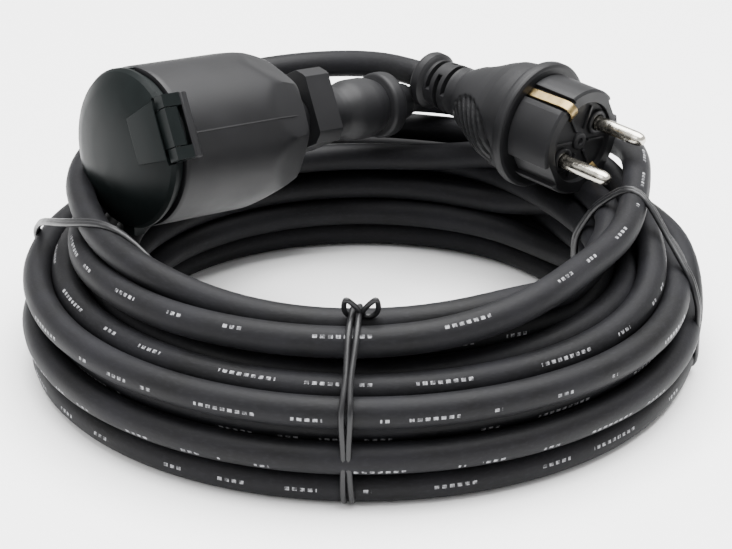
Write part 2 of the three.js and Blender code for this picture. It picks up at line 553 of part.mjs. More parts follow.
function tie() {
  const [widest, lowest] = [COIL_RADIUS - 0.1, 0.1];
  return slice(TIE_THICK + 0.1, TIE_WIDTH, widest, lowest)
    .subtract(slice(0.1, TIE_WIDTH + 2, widest - TIE_THICK, lowest + TIE_THICK));
}

function tieGroove() {
  const [widest, lowest] = [COIL_RADIUS - 0.1 - TIE_THICK - GAP, 0.1 + TIE_THICK + GAP];
  const width = TIE_WIDTH + 2 * GAP;
  return block(40, 160, -width / 2, width / 2, -5, COIL_HEIGHT + 10)
    .subtract(slice(0.1 - GAP, width + 2, widest, lowest));
}

// The room a plug or coupler takes where it lies on the turns.
function envelope(group, profile) {
  return turned(profile, 32).transform(group.matrixWorld.elements);
}

// The room the lid sweeps while it opens.
function lidSwing() {
  const room = 2 * GAP;
  const reach = BARREL_RADIUS + room;
  const disc = bar(reach, -LID_HEIGHT + 4 - room, room, 0, 0, 48)
    .add(bar(reach - 6, -LID_HEIGHT - room, room, 0, 0, 48)).add(thumbTab(room));
  let swept = disc;
  for (let angle = 4; angle <= LID_OPEN; angle += 4) {
    swept = swept.add(disc.translate([-HINGE_X, 0, -HINGE_Z]).rotate([0, angle, 0])
      .translate([HINGE_X, 0, HINGE_Z]));
  }
  return swept.transform(coupler.matrixWorld.elements);
}

function coil() {
  const ring = new THREE.LatheGeometry(anticlockwise([...COIL_SECTION, COIL_SECTION[0]]
    .map(([r, z]) => new THREE.Vector2(r, z))), 72);
  let body = solid(ring.rotateX(Math.PI / 2));
  for (const angle of Object.values(TIE_ANGLES)) body = body.subtract(tieGroove().rotate([0, 0, angle]));
  const room = 2 * GAP;
  body = body.subtract(envelope(plug, [[-PIN_LENGTH, 0], [-PIN_LENGTH, PIN_Y + PIN_RADIUS + room],
    [-room, PIN_Y + PIN_RADIUS + room], [-room, NOSE_RADIUS + room], [FLANGE_START - room, NOSE_RADIUS + room],
    [FLANGE_START - room, FLANGE_RADIUS + room], [FLANGE_END + room, FLANGE_RADIUS + room],
    [FLANGE_END + 25, 14], [PLUG_END, 11], [PLUG_END, 0]]));
  body = body.subtract(envelope(coupler, [[-LID_HEIGHT - room, 0], [-LID_HEIGHT - room, 20],
    [-LID_HEIGHT + 4, BARREL_RADIUS + 3], [0, BARREL_RADIUS + 3], [0, BARREL_RADIUS + room],
    [BARREL_LENGTH, BARREL_RADIUS + room], [SHOULDER_END, SHOULDER_RADIUS + 4], [SLEEVE_END, 14], [SLEEVE_END, 0]]));
  return body.subtract(lidSwing()).subtract(leadSeat(couplerRoute)).subtract(leadSeat(plugRoute));
}

const cord = new THREE.Group();
cord.add(piece("coupler_lead", lead(couplerRoute), CABLE));
cord.add(piece("plug_lead", lead(plugRoute), CABLE));
cord.add(piece("cord_coil", coil(), CABLE));
for (const [name, angle] of Object.entries(TIE_ANGLES)) {
  cord.add(piece(name, tie().rotate([0, 0, angle]), HARD_BLACK));
}

const extensionCord = new THREE.Group();
extensionCord.add(coupler, plug, cord);
export default extensionCord;
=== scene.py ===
import math

import bmesh
import bpy
import numpy as np
from mathutils import Euler, Matrix, Vector


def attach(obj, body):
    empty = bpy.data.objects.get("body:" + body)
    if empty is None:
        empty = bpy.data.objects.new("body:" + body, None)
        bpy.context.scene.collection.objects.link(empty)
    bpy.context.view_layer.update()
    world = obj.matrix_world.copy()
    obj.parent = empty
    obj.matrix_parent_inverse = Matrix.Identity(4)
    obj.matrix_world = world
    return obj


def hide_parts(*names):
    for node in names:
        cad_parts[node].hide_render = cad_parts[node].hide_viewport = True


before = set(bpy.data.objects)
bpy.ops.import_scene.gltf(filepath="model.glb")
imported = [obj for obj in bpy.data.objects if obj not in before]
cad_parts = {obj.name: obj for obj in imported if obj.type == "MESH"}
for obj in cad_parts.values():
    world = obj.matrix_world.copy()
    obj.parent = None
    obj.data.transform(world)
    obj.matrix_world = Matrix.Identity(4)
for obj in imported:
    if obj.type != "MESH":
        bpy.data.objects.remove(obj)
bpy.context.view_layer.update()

# Camera: a little above the coil and in front of it, on a long lens.
# It stands 0.72 m away, so that the far side of the coil looks only slightly smaller than the near side.
LOOKING_DOWN = 24.52            # degrees below the level
camera = bpy.data.objects.new("camera", bpy.data.cameras.new("camera"))
camera.data.sensor_width = 36
camera.data.lens = 106.7
camera.data.clip_start = 0.05
camera.location = (0, -0.65, 0.3212)
camera.rotation_euler = (math.radians(90 - LOOKING_DOWN), 0, math.radians(-0.106))
bpy.context.scene.collection.objects.link(camera)
bpy.context.scene.camera = camera

# Cable: nine metres of heavy rubber flex, three cores under a round black sheath 9.5 mm across.
# The sheath is extruded and vulcanised, and it carries a row of pale printed marks along one side.
# It leaves the coupler, dips behind the plug, makes sixteen turns and rises again to the plug.
MM = 0.001
CORD_RADIUS = 4.75
TURNS = 16
STATIONS = 120                  # points in each turn
FIRST_ANGLE = 76                # between the two strain reliefs; the cable runs clockwise from there
TOUCHING = 9.55                 # between the middles of two turns that press on each other
INNER_REACH = 77.5
OUTER_REACH = 106.6
LOOSE_HEIGHT = 45               # above this height a strand may lie LOOSE_ROOM further out
LOOSE_ROOM = 6
BACK_SWELL = 2.2                # the bundle lies this much further out at the back
SHIFT = 16                      # stations that a turn takes to move over to its place
SHIFT_LAG = 1.5                 # stations by which each turn moves over later than the turn after it
LEAD_BLEND = 18                 # stations in which a loose stretch joins its turn
SETTLING_STEPS = 260
STIFF_STEPS = 220               # the cable resists bending in these first steps, and then the turns only push
STRAIGHTENING = 0.25            # how hard it resists bending, in each step
HOMING = 0.03                   # how hard each turn keeps to its place
PUSHING = 0.6                   # how hard two turns push each other apart
FLOOR_GAP = 0.05
SPACING = 5                     # between the points of the finished route
SMOOTHING_ROUNDS = 80
PULL_IN = 0.25
LET_OUT = 0.257
TIGHTEST = 42                   # bends of a smaller radius than this are eased
EASING_ROUNDS = 140
EASING = 0.2
EASED_POINTS = 9                # how many points round a sharp one are eased with it

# Where each turn lies in the bundle at the front: distance from the coil's axis, and height.
TURN_PLACES = [(89, 43.8), (95, 31.6), (104, 29.4), (106.5, 15.5), (103.4, 4.75), (91.4, 4.75),
               (81.9, 4.75), (78.4, 14.3), (87.6, 13.5), (97.2, 12.2), (98.9, 21.5), (89.4, 22.5),
               (80.2, 23), (86, 32.4), (77.2, 35.2), (80, 45)]

# The loose stretches, from each strain relief to the bundle.
COUPLER_EXIT = (14.87, 79.79, 56.45)
COUPLER_LEAD = [(20.04, 84.44, 55.69), (33, 93, 51.6), (48, 95.8, 48.2), (63, 91.8, 46.8),
                (78, 79.5, 46.9), (90, 56, 49.5), (92, 38, 52), (91, 18, 52.5), (87, -4, 51),
                (80, -28, 49.5), (66, -48, 48)]
PLUG_EXIT = (23.18, 78.56, 65.46)
PLUG_LEAD = [(18.26, 83.52, 65.94), (10.5, 91, 65.6), (-3, 98.5, 64), (-25, 101, 62), (-52, 91, 60),
             (-76, 68, 57.5), (-89, 40, 55), (-93.2, 19, 52.5), (-88.5, -8, 51.5), (-80, -32, 50)]

# The coupler and the plug lie on the bundle: where each one's front is, its roll, pitch and yaw in
# degrees, and the room that it needs round its own axis, as distances back from its front and radii.
COUPLER_PLACE = (-72.3, 1.3, 69.3)
COUPLER_TURN = (60, 6.25, 42)
COUPLER_ROOM = [(-10, 0), (-8, 20), (-4, 26.6), (0, 26.8), (40, 26.6), (56, 22), (64, 12), (66, 19),
                (78, 19), (80, 10), (104, 12), (118, 6)]
PLUG_PLACE = (73.7, 27.5, 60.5)
PLUG_TURN = (150, -3.95, 134.7)
PLUG_ROOM = [(-21, 0), (-19, 13), (-1, 13), (0, 19), (16, 19), (17, 22.6), (23, 22.6), (46, 12), (72, 10)]


def frame_at(place, turn):
    """The transform of a part's own axes: roll, pitch and yaw in degrees about its place in millimetres."""
    turned = Euler([math.radians(a) for a in turn], "XYZ").to_matrix().to_4x4()
    return Matrix.Translation(Vector(place) * MM) @ turned @ Matrix.Scale(MM, 4)


def ease(value, low, high):
    """A smooth rise from 0 to 1 as the value goes from low to high."""
    t = np.clip((value - low) / (high - low), 0, 1)
    return t * t * (3 - 2 * t)


def smooth_points(points, step):
    """Points a step apart on a centripetal Catmull-Rom curve through the given ones."""
    p = np.array(points, float)
    p = np.vstack([2 * p[0] - p[1], p, 2 * p[-1] - p[-2]])
    out = []
    for a, b, c, d in zip(p, p[1:], p[2:], p[3:]):
        knots = np.cumsum([0] + [math.sqrt(np.linalg.norm(v)) for v in (b - a, c - b, d - c)])
        count = max(2, round(np.linalg.norm(c - b) / step))
        for t in np.linspace(knots[1], knots[2], count, endpoint=False):
            def mix(u, v, i, j):
                return ((knots[j] - t) * u + (t - knots[i]) * v) / (knots[j] - knots[i])
            ab, bc, cd = mix(a, b, 0, 1), mix(b, c, 1, 2), mix(c, d, 2, 3)
            out.append(mix(mix(ab, bc, 0, 2), mix(bc, cd, 1, 3), 1, 2))
    out.append(p[-2])
    return np.array(out)


def wind_turns(angles):
    """Each turn's distance from the axis and height at every station, as it moves from place to place."""
    places = np.array(TURN_PLACES, float)
    wound = np.repeat(places[:, None, :], STATIONS, axis=1)
    for turn in range(1, TURNS):
        start = (TURNS - 1 - turn) * SHIFT_LAG
        share = ease(np.arange(STATIONS), start, start + SHIFT)[:, None]
        wound[turn] = places[turn - 1] * (1 - share) + places[turn] * share
    wound[:, :, 0] += BACK_SWELL * np.cos(np.radians(angles - 90) / 2) ** 2
    return wound


def lay_leads(laid, angles):
    """Puts the loose stretches into the first and last turn, and says which stations they hold."""
    held = np.zeros((TURNS, STATIONS), bool)
    for turn, lead, onward in ((0, COUPLER_LEAD, 1), (TURNS - 1, PLUG_LEAD, -1)):
        line = smooth_points(lead[1:], 2)
        bearing = np.degrees(np.arctan2(line[:, 1], line[:, 0]))
        bearing = np.where(bearing > FIRST_ANGLE, bearing - 360, bearing)
        order = np.argsort(-bearing)
        inside = (angles <= bearing[order][0]) & (angles >= bearing[order][-1])
        for axis, values in enumerate((np.hypot(line[:, 0], line[:, 1]), line[:, 2])):
            laid[turn, inside, axis] = np.interp(-angles[inside], -bearing[order], values[order])
        held[turn] = inside
        end = np.nonzero(inside)[0][-1 if onward == 1 else 0]
        for k in range(1, LEAD_BLEND):
            share = ease(k, 0, LEAD_BLEND)
            here = end + onward * k
            laid[turn, here] = laid[turn, end] * (1 - share) + laid[turn, here] * share
    return held


def lay_turns():
    """The turns station by station, pushed apart to lie beside each other and under what is on top."""
    angles = FIRST_ANGLE - np.arange(STATIONS) * 360 / STATIONS
    cosines, sines = np.cos(np.radians(angles)), np.sin(np.radians(angles))
    laid = wind_turns(angles)
    held = lay_leads(laid, angles)
    target = laid.copy()
    pairs = [(i, j) for i in range(TURNS) for j in range(i)]
    left, right = np.array(pairs).T
    on_top = []
    for place, turn, room in ((PLUG_PLACE, PLUG_TURN, PLUG_ROOM),
                              (COUPLER_PLACE, COUPLER_TURN, COUPLER_ROOM)):
        on_top.append((np.array(place), np.array(frame_at(place, turn).col[0][:3]) / MM, *zip(*room)))
    for step in range(SETTLING_STEPS):
        if step < STIFF_STEPS:
            flat = laid.reshape(-1, 2)
            flat[1:-1] += STRAIGHTENING * (flat[:-2] + flat[2:] - 2 * flat[1:-1])
            laid += HOMING * (target - laid)
        away = laid[left] - laid[right]
        distance = np.linalg.norm(away, axis=2)
        lack = np.clip(TOUCHING - distance, 0, None)
        push = lack[:, :, None] * away / np.maximum(distance, 0.1)[:, :, None]
        move = np.zeros_like(laid)
        for number, (i, j) in enumerate(pairs):
            share = np.where(held[i] == held[j], 0.5, np.where(held[i], 0, 1))[:, None]
            move[i] += share * push[number]
            move[j] -= (1 - share) * push[number]
        laid += PUSHING * move
        for place, axis, back, radii in on_top:
            spot = np.stack([laid[..., 0] * cosines, laid[..., 0] * sines, laid[..., 1]], axis=-1) - place
            along = spot @ axis
            out = spot - along[..., None] * axis
            distance = np.linalg.norm(out, axis=-1)
            room = np.interp(along, back, radii, left=0, right=0)
            lack = np.where(room > 0, np.clip(room + CORD_RADIUS - distance, 0, None), 0)
            out *= (lack / np.maximum(distance, 0.1))[..., None]
            laid[..., 0] += out[..., 0] * cosines + out[..., 1] * sines
            laid[..., 1] += out[..., 2]
        outermost = OUTER_REACH + LOOSE_ROOM * (laid[..., 1] > LOOSE_HEIGHT)
        laid[..., 0] = np.clip(laid[..., 0], INNER_REACH, outermost)
        laid[..., 1] = np.maximum(laid[..., 1], CORD_RADIUS + FLOOR_GAP)
        laid[held] = target[held]
    return laid, angles, held


turns, angles, held = lay_turns()
circle = np.radians(angles)
coil = np.stack([turns[..., 0] * np.cos(circle), turns[..., 0] * np.sin(circle), turns[..., 1]], axis=-1)
first = np.nonzero(held[0])[0][0]
last = (TURNS - 1) * STATIONS + np.nonzero(held[-1])[0][-1]
route = smooth_points([COUPLER_EXIT, COUPLER_LEAD[0], *coil.reshape(-1, 3)[first + 2:last - 2:3],
                       PLUG_LEAD[1], PLUG_LEAD[0], PLUG_EXIT], SPACING)
walked = np.concatenate([[0], np.cumsum(np.linalg.norm(np.diff(route, axis=0), axis=1))])
evenly = np.linspace(0, walked[-1], round(walked[-1] / SPACING) + 1)
route = np.stack([np.interp(evenly, walked, route[:, k]) for k in range(3)], axis=1)


def bend(line):
    """How far each point's two neighbours bend away from it, but for the two points at each end."""
    return line[1:-3] + line[3:-1] - 2 * line[2:-2]


# Pulling in and letting out by turns takes the small kinks away and keeps the length.
for _ in range(SMOOTHING_ROUNDS):
    route[2:-2] += PULL_IN * bend(route)
    route[2:-2] -= LET_OUT * bend(route)
# The sheath is too stiff to kink: the tightest bends are eased to a radius of about four diameters.
for _ in range(EASING_ROUNDS):
    sharp = np.linalg.norm(bend(route), axis=1) > SPACING ** 2 / TIGHTEST
    near_sharp = np.convolve(sharp, np.ones(EASED_POINTS), "same")[:, None] > 0
    route[2:-2] += EASING * near_sharp * bend(route)


def ring_points(centre, side, up, radius, sides):
    """The points of a round section in millimetres, in the plane of two directions."""
    turn = 2 * math.pi * np.arange(sides) / sides
    return (centre + radius * (np.cos(turn)[:, None] * side + np.sin(turn)[:, None] * up)) * MM


def add_piece(name, mesh):
    """A new object of that name, with that mesh."""
    piece = bpy.data.objects.new(name, mesh)
    bpy.context.scene.collection.objects.link(piece)
    return piece


def sweep(name, points, radius, sides=16):
    """A round rod along a line, its ends closed, with metres along and turns round it as its UV."""
    p = np.array(points, float)
    along = np.gradient(p, axis=0)
    along /= np.linalg.norm(along, axis=1)[:, None]
    side = np.cross(along[0], (0, 0, 1) if abs(along[0][2]) < 0.9 else (1, 0, 0))
    travelled = np.concatenate([[0], np.cumsum(np.linalg.norm(np.diff(p, axis=0), axis=1))]) * MM
    verts, faces, uvs = [], [], []
    for centre, tangent in zip(p, along):
        side = side - tangent * (side @ tangent)
        side /= np.linalg.norm(side)
        verts.extend(ring_points(centre, side, np.cross(tangent, side), radius, sides))
    for i in range(len(p) - 1):
        near, far = travelled[i], travelled[i + 1]
        for k in range(sides):
            a, b = i * sides + k, i * sides + (k + 1) % sides
            faces.append((a, b, b + sides, a + sides))
            uvs += [(near, k / sides), (near, (k + 1) / sides), (far, (k + 1) / sides), (far, k / sides)]
    faces.append(tuple(range(sides))[::-1])
    faces.append(tuple(range((len(p) - 1) * sides, len(p) * sides)))
    uvs += [(0, 0)] * sides * 2
    mesh = bpy.data.meshes.new(name)
    mesh.from_pydata(verts, [], faces)
    mesh.uv_layers.new(name="UVMap").data.foreach_set("uv", np.array(uvs, "f").ravel())
    mesh.polygons.foreach_set("use_smooth", [len(f) == 4 for f in faces])
    return add_piece(name, mesh)


def linear(code):
    """An sRGB hex colour as linear RGBA."""
    channels = [int(code[i:i + 2], 16) / 255 for i in (0, 2, 4)]
    return (*[c / 12.92 if c <= 0.04045 else ((c + 0.055) / 1.055) ** 2.4 for c in channels], 1)


def per_metre(size):
    """How often a pattern of that size in millimetres repeats in a metre."""
    return 1000 / size


def add_node(tree, kind, settings=None, **links):
    """A node of that kind: settings are its own properties, links its sockets' values or sources.

    A socket is given by its name, or by its number after an underscore.
    """
    node = tree.nodes.new(kind)
    for key, value in (settings or {}).items():
        setattr(node, key, value)
    for key, value in links.items():
        socket = node.inputs[int(key[1:])] if key[0] == "_" else node.inputs[key.replace("_", " ")]
        if isinstance(value, bpy.types.NodeSocket):
            tree.links.new(value, socket)
        else:
            socket.default_value = value
    return node


def new_finish(name, **sockets):
    """A material with those values on its shader, and its node tree, shader and object coordinates."""
    material = bpy.data.materials.new(name)
    material.use_nodes = True
    tree = material.node_tree
    shader = tree.nodes["Principled BSDF"]
    for key, value in sockets.items():
        shader.inputs[key.replace("_", " ")].default_value = value
    place = add_node(tree, "ShaderNodeTexCoord").outputs["Object"]
    return material, tree, shader, place


def coat(material, *things):
    """Gives objects one material in place of what they have."""
    for thing in things:
        thing.data.materials.clear()
        thing.data.materials.append(material)


def finish_piece(piece, material, body, slot, *nodes):
    """Gives a piece its material and its body, and hides the nodes that it stands for; its slot is not used.
    """
    coat(material, piece)
    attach(piece, body)
    if nodes:
        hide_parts(*nodes)


# Vulcanised chloroprene: a soft, almost black sheath, matt but for a broad dull sheen along its top,
# with faint drag lines and a grey bloom where it has been handled.
DRAG_LINES = 34                 # round the sheath
DRAG_STRETCH = 14               # times per metre that the pattern round the sheath repeats: lines 2 mm long
MARK_PITCH = 2.2                # millimetres from one dash to the next
MARK_SHARE = 0.6                # of that pitch is ink
MARK_REACH = 0.018              # of a turn, to each side of the marks' line
sheath, tree, shader, place = new_finish("vulcanised_rubber_sheath", IOR=1.5, Specular_IOR_Level=0.13)
bloom = add_node(tree, "ShaderNodeTexNoise", Vector=place, Scale=per_metre(22), Detail=4, Roughness=0.6)
grain = add_node(tree, "ShaderNodeTexNoise", Vector=place, Scale=per_metre(0.7), Detail=3)
lie = add_node(tree, "ShaderNodeUVMap")
along = add_node(tree, "ShaderNodeSeparateXYZ", Vector=lie.outputs[0])
drawn = add_node(tree, "ShaderNodeMath", {"operation": "MULTIPLY"}, _0=along.outputs[0], _1=DRAG_STRETCH)
drag_place = add_node(tree, "ShaderNodeCombineXYZ", X=drawn.outputs[0], Y=along.outputs[1])
drag = add_node(tree, "ShaderNodeTexNoise", Vector=drag_place.outputs[0], Scale=DRAG_LINES, Detail=3)

# generic printed marks: short dashes in rows, on a line that wanders slowly round the sheath
marks = add_node(tree, "ShaderNodeMath", {"operation": "MULTIPLY"}, _0=along.outputs[0],
                 _1=per_metre(MARK_PITCH))
wander = add_node(tree, "ShaderNodeTexNoise", {"noise_dimensions": "1D"}, W=along.outputs[0],
                  Scale=per_metre(625), Detail=1)
line = add_node(tree, "ShaderNodeMath", {"operation": "MULTIPLY_ADD"}, _0=wander.outputs[0], _1=0.5, _2=0.36)
aside = add_node(tree, "ShaderNodeMath", {"operation": "SUBTRACT"}, _0=along.outputs[1], _1=line.outputs[0])
near = add_node(tree, "ShaderNodeMath", {"operation": "COMPARE"}, _0=aside.outputs[0], _1=0, _2=MARK_REACH)
dash = add_node(tree, "ShaderNodeMath", {"operation": "FRACT"}, _0=marks.outputs[0])
short = add_node(tree, "ShaderNodeMath", {"operation": "LESS_THAN"}, _0=dash.outputs[0], _1=MARK_SHARE)
word = add_node(tree, "ShaderNodeTexNoise", {"noise_dimensions": "1D"}, W=along.outputs[0],
                Scale=per_metre(19), Detail=1)
in_word = add_node(tree, "ShaderNodeMath", {"operation": "GREATER_THAN"}, _0=word.outputs[0], _1=0.52)
worn = add_node(tree, "ShaderNodeTexNoise", Vector=place, Scale=per_metre(1.1), Detail=2)
patchy = add_node(tree, "ShaderNodeMapRange", Value=worn.outputs[0], From_Min=0.38, From_Max=0.6,
                  To_Min=0.1, To_Max=0.8)
inked = near
for mask in (short, in_word, patchy):
    inked = add_node(tree, "ShaderNodeMath", {"operation": "MULTIPLY"}, _0=inked.outputs[0],
                     _1=mask.outputs[0])

tone = add_node(tree, "ShaderNodeValToRGB", Fac=bloom.outputs[0])
for stop, position, colour in zip(tone.color_ramp.elements, (0.35, 0.7), ("0d0d0e", "17171a")):
    stop.position = position
    stop.color = linear(colour)
lines = add_node(tree, "ShaderNodeMapRange", Value=drag.outputs[0], From_Min=0.5, From_Max=0.8, To_Max=0.5)
streaked = add_node(tree, "ShaderNodeMix", {"data_type": "RGBA"}, _0=lines.outputs[0],
                    _6=tone.outputs[0], _7=linear("212124"))
printed = add_node(tree, "ShaderNodeMix", {"data_type": "RGBA"}, _0=inked.outputs[0],
                   _6=streaked.outputs[2], _7=linear("a2a2a5"))
tree.links.new(printed.outputs[2], shader.inputs["Base Color"])
rough = add_node(tree, "ShaderNodeMapRange", Value=bloom.outputs[0], From_Min=0.3, From_Max=0.7,
                 To_Min=0.5, To_Max=0.62)
tree.links.new(rough.outputs[0], shader.inputs["Roughness"])
relief = add_node(tree, "ShaderNodeMath", {"operation": "ADD"}, _0=grain.outputs[0], _1=drag.outputs[0])
skin = add_node(tree, "ShaderNodeBump", Height=relief.outputs[0], Strength=0.28, Distance=0.12 * MM)
tree.links.new(skin.outputs[0], shader.inputs["Normal"])

cord = sweep("cord", route, CORD_RADIUS)
finish_piece(cord, sheath, "cord", "cable_rubber", "cord_coil", "coupler_lead", "plug_lead")

# Ties: each is a double length of thin black plastic-coated wire, bound once round the bundle
# and twisted shut, so it lies on the outermost turns and spans the hollows between them.
TIE_WIRE_RADIUS = 0.95
TIE_MIDDLE = (91.5, 24)         # a point inside the bundle's section
TIE_REACH = 110.2               # no wire lies further out than this
# Each tie's bearing round the coil, first outside the bundle and then inside it.
TIE_BEARINGS = {"tie_front": (-92.5, -90.5), "tie_left": (-190, -128), "tie_right": (-14, 11)}
LOOP_PLACE = (-83, 49.2)        # the twisted ends stand up here, on top of the front of the bundle
LOOP_LEAN = 0.35                # how far the loops lean to the front as they rise


def bundle_reach(bearing, turned):
    """How far the pulled-tight outline of the bundle lies from its middle, at a bearing round the coil."""
    spot = ((FIRST_ANGLE - bearing) % 360) * STATIONS / 360
    low = int(spot) % STATIONS
    share = spot - int(spot)
    high = min(low + 1, STATIONS - 1)
    places = turns[:, low] * (1 - share) + turns[:, high] * share
    probes = np.radians(np.arange(0, 360, 3))
    faced = np.stack([np.cos(probes), np.sin(probes)])
    support = ((places - TIE_MIDDLE) @ faced).max(axis=0) + CORD_RADIUS + TIE_WIRE_RADIUS
    facing = np.cos(turned - probes)
    return float((support[facing > 0.05] / facing[facing > 0.05]).min())


def tie_line(outer, inner, aside):
    """A closed line round the bundle that leans from one bearing outside to another inside."""
    line = []
    for turned in np.linspace(0, 2 * math.pi, 96, endpoint=False):
        lean = ((1 - math.cos(turned)) / 2) ** 1.3
        bearing = outer + (inner - outer) * lean
        reach = bundle_reach(bearing, turned)
        r = min(TIE_MIDDLE[0] + reach * math.cos(turned), TIE_REACH)
        z = max(TIE_MIDDLE[1] + reach * math.sin(turned), TIE_WIRE_RADIUS + FLOOR_GAP)
        sway = aside * (1 + 0.25 * math.sin(5 * turned))
        phi = math.radians(bearing) + sway / r
        line.append((r * math.cos(phi), r * math.sin(phi), z))
    p = np.array(line)
    for _ in range(3):
        p += 0.25 * (np.roll(p, 1, axis=0) + np.roll(p, -1, axis=0) - 2 * p)
    return p


def loop_line(x, slope):
    """One of the two small loops that the wire's ends are twisted into, drop-shaped and leaning aside."""
    line = []
    for turned in np.linspace(0, 2 * math.pi, 24, endpoint=False):
        wide = 1.9 * math.sin(turned) * (1 + 0.5 * math.cos(turned))
        high = 3.6 * (1 - math.cos(turned))
        line.append((x + wide + slope * high, LOOP_PLACE[0] - LOOP_LEAN * high, LOOP_PLACE[1] + 0.9 * high))
    return line


def joined(name, parts):
    """One object out of several, which are used up."""
    for part in parts:
        part.select_set(True)
    bpy.context.view_layer.objects.active = parts[0]
    with bpy.context.temp_override(active_object=parts[0], selected_editable_objects=parts):
        bpy.ops.object.join()
    parts[0].name = name
    return parts[0]


def ring_rod(name, points, radius, sides=10):
    """A rod along a closed line."""
    p = np.array(points)
    along = np.roll(p, -1, axis=0) - np.roll(p, 1, axis=0)
    along /= np.linalg.norm(along, axis=1)[:, None]
    hub = p.mean(axis=0)
    verts, faces = [], []
    for centre, tangent in zip(p, along):
        out = centre - hub
        out -= tangent * (out @ tangent)
        out /= np.linalg.norm(out)
        verts.extend(ring_points(centre, out, np.cross(tangent, out), radius, sides))
    for i in range(len(p)):
        here, onward = i * sides, (i + 1) % len(p) * sides
        for k in range(sides):
            beside = (k + 1) % sides
            faces.append((here + k, here + beside, onward + beside, onward + k))
    mesh = bpy.data.meshes.new(name)
    mesh.from_pydata(verts, [], faces)
    mesh.polygons.foreach_set("use_smooth", [True] * len(faces))
    return add_piece(name, mesh)


def cloud_finish(tree, shader, cloud, dark, pale, smoothest=None, roughest=None):
    """Lets a cloudy pattern carry the colour from dark to pale, and the roughness between two values."""
    tone = add_node(tree, "ShaderNodeMix", {"data_type": "RGBA"}, _0=cloud, _6=linear(dark), _7=linear(pale))
    tree.links.new(tone.outputs[2], shader.inputs["Base Color"])
    if roughest is not None:
        rough = add_node(tree, "ShaderNodeMapRange", Value=cloud, From_Min=0.3, From_Max=0.7,
                         To_Min=smoothest, To_Max=roughest)
        tree.links.new(rough.outputs[0], shader.inputs["Roughness"])


# Soft PVC over wire: smooth and a little shinier than the rubber, so each strand has one thin light line.
tie_coat, tree, shader, place = new_finish("pvc_coated_wire", IOR=1.53, Specular_IOR_Level=0.3)
scuff = add_node(tree, "ShaderNodeTexNoise", Vector=place, Scale=per_metre(3), Detail=3)
cloud_finish(tree, shader, scuff.outputs[0], "0b0b0c", "1a1a1c", 0.3, 0.46)

for tie, (outer, inner) in TIE_BEARINGS.items():
    strands = [ring_rod(f"{tie}_strand{n}", tie_line(outer, inner, aside), TIE_WIRE_RADIUS)
               for n, aside in enumerate((-0.98, 0.98))]
    if tie == "tie_front":
        for n, (x, slope) in enumerate(((-2.2, -2.4 / 7), (1.6, 2.2 / 7))):
            strands.append(ring_rod(f"{tie}_loop{n}", loop_line(x, slope), 0.8))
    finish_piece(joined(f"{tie}_wires", strands), tie_coat, "cord", "hard_black", tie)

# Coupler shell: a thick moulded rubber barrel round the socket insert, with an eight-sided shoulder
# behind it and a short neck for the cord clamp. A fine flash line runs along its side.
BARREL_RADIUS = 26
BARREL_BORE = 23.6
INSERT_SEAT = 32.8              # the carrier of the contacts stands on this step in the bore
SHOULDER_START = 37
SHOULDER_END = 55
SHOULDER_FLAT = 20
SHOULDER_REAR = SHOULDER_FLAT + 0.5
NECK_BORE = 5.1
CLAMP_END = 77
FLASH_ANGLE = 96                # from +Y towards +Z, which is the hinge
FLASH_HEIGHT = 0.14
CORNER_SHARPNESS = 70           # of the corners where the flats cut the round barrel
coupler = frame_at(COUPLER_PLACE, COUPLER_TURN)


def smooth_piece(name, work, mesh, sharp):
    """The piece that a finished bmesh makes: smooth, but for edges that turn by more than an angle."""
    work.to_mesh(mesh)
    work.free()
    mesh.shade_smooth()
    mesh.set_sharp_from_angle(angle=math.radians(sharp))
    return add_piece(name, mesh)


def round_edges(piece, width, angle, segments=2, harden=False):
    """Rounds the edges that turn by more than an angle, to a width in millimetres."""
    rounded = piece.modifiers.new("rounded_edges", "BEVEL")
    rounded.width = width * MM
    rounded.segments = segments
    rounded.limit_method = "ANGLE"
    rounded.angle_limit = math.radians(angle)
    rounded.harden_normals = harden


def turned_piece(name, outline, transform, sides=160, skin=None, extra=(), step=1.0, closed=False, sharp=32):
    """A turned shape about +X from (along, radius) points; skin(along, radius, angle) may reshape it."""
    points = []
    ring = list(outline) + ([outline[0]] if closed else [])
    for (x0, r0), (x1, r1) in zip(ring, ring[1:]):
        count = max(1, math.ceil(math.hypot(x1 - x0, r1 - r0) / step))
        points += [(x0 + (x1 - x0) * k / count, r0 + (r1 - r0) * k / count) for k in range(count)]
    if not closed:
        points.append(ring[-1])
    bearings = np.unique(np.concatenate([np.arange(sides) * 360 / sides, np.array(extra, float)]))
    turn = np.radians(bearings)
    verts = []
    for x, r in points:
        radius = np.full(len(turn), float(r)) if skin is None or r < 0.01 else skin(x, r, bearings)
        for cos, sin, out in zip(np.cos(turn), np.sin(turn), radius):
            verts.append(transform @ Vector((x, out * cos, out * sin)))
    n = len(turn)
    faces = []
    for i in range(len(points) if closed else len(points) - 1):
        j = (i + 1) % len(points)
        for k in range(n):
            faces.append((i * n + k, i * n + (k + 1) % n, j * n + (k + 1) % n, j * n + k))
    mesh = bpy.data.meshes.new(name)
    mesh.from_pydata(verts, [], faces)
    work = bmesh.new()
    work.from_mesh(mesh)
    bmesh.ops.remove_doubles(work, verts=work.verts, dist=1e-6)
    bmesh.ops.dissolve_degenerate(work, edges=work.edges, dist=1e-7)
    bmesh.ops.recalc_face_normals(work, faces=work.faces)
    return smooth_piece(name, work, mesh, sharp)


